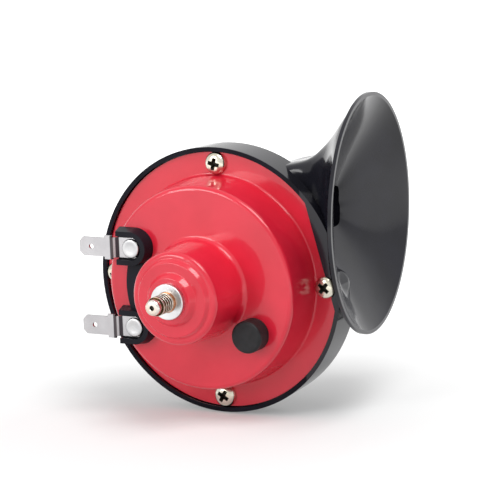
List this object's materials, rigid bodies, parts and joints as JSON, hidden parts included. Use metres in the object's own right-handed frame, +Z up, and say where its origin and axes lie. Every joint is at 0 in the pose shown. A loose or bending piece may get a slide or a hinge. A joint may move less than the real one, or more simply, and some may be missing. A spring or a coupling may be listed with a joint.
{
  "type": "car horn",
  "caption": "Electric snail horn: stamped red housing, black moulded tray with a spiral duct and a flared bell, threaded mounting stud and spade terminals.",
  "frame": {"origin": "seat of the mounting stud: middle of the washer's front face", "axes": "-Y along the stud, away from the housing; +X towards the bell's side; +Z up as in the picture"},
  "size_m": [0.098, 0.1017, 0.106],
  "materials": {
    "red_paint": "gloss",
    "black_plastic": "gloss",
    "cap_rubber": "satin",
    "block_plastic": "gloss",
    "tin_plate": "satin",
    "yellow_zinc": "satin",
    "stud_plate": "satin",
    "nickel": "polished",
    "bare_steel": "satin",
    "spring_steel": "satin",
    "spring_brass": "satin",
    "copper_wire": "gloss",
    "fibre": "matte",
    "nylon": "matte",
    "gasket_paper": "matte"
  },
  "bodies": {
    "housing": {"housing_shell": "red_paint", "trumpet_body": "black_plastic", "trumpet_cover": "black_plastic", "flange_screws": "yellow_zinc", "core_stud": "stud_plate", "stud_washer": "nickel", "adjuster_cap": "cap_rubber", "adjusting_screw": "nickel", "terminal_block": "block_plastic", "upper_terminal": "tin_plate", "lower_terminal": "tin_plate", "upper_rivet": "nickel", "lower_rivet": "nickel", "rivet_bushes": "nylon", "coil_bobbin": "nylon", "coil_winding": "copper_wire", "yoke_plate": "bare_steel", "diaphragm": "spring_steel", "front_gasket": "gasket_paper", "rear_gasket": "gasket_paper", "contact_insulator": "fibre", "contact_spacer": "fibre", "contact_blade": "spring_brass", "moving_contact": "nickel", "contact_arm": "bare_steel", "fixed_contact": "nickel", "coil_tag": "spring_brass"},
    "armature": {"armature": "bare_steel", "armature_ring": "fibre", "armature_washer": "nickel", "armature_nut": "nickel"}
  },
  "joints": [
    {"name": "armature_stroke", "type": "slide", "parent": "housing", "child": "armature", "axis": [0, -1, 0], "range_m": [-0.0003, 0.0008], "stiffness_N_per_m": 80000, "deforming": ["diaphragm", "contact_blade"]}
  ]
}
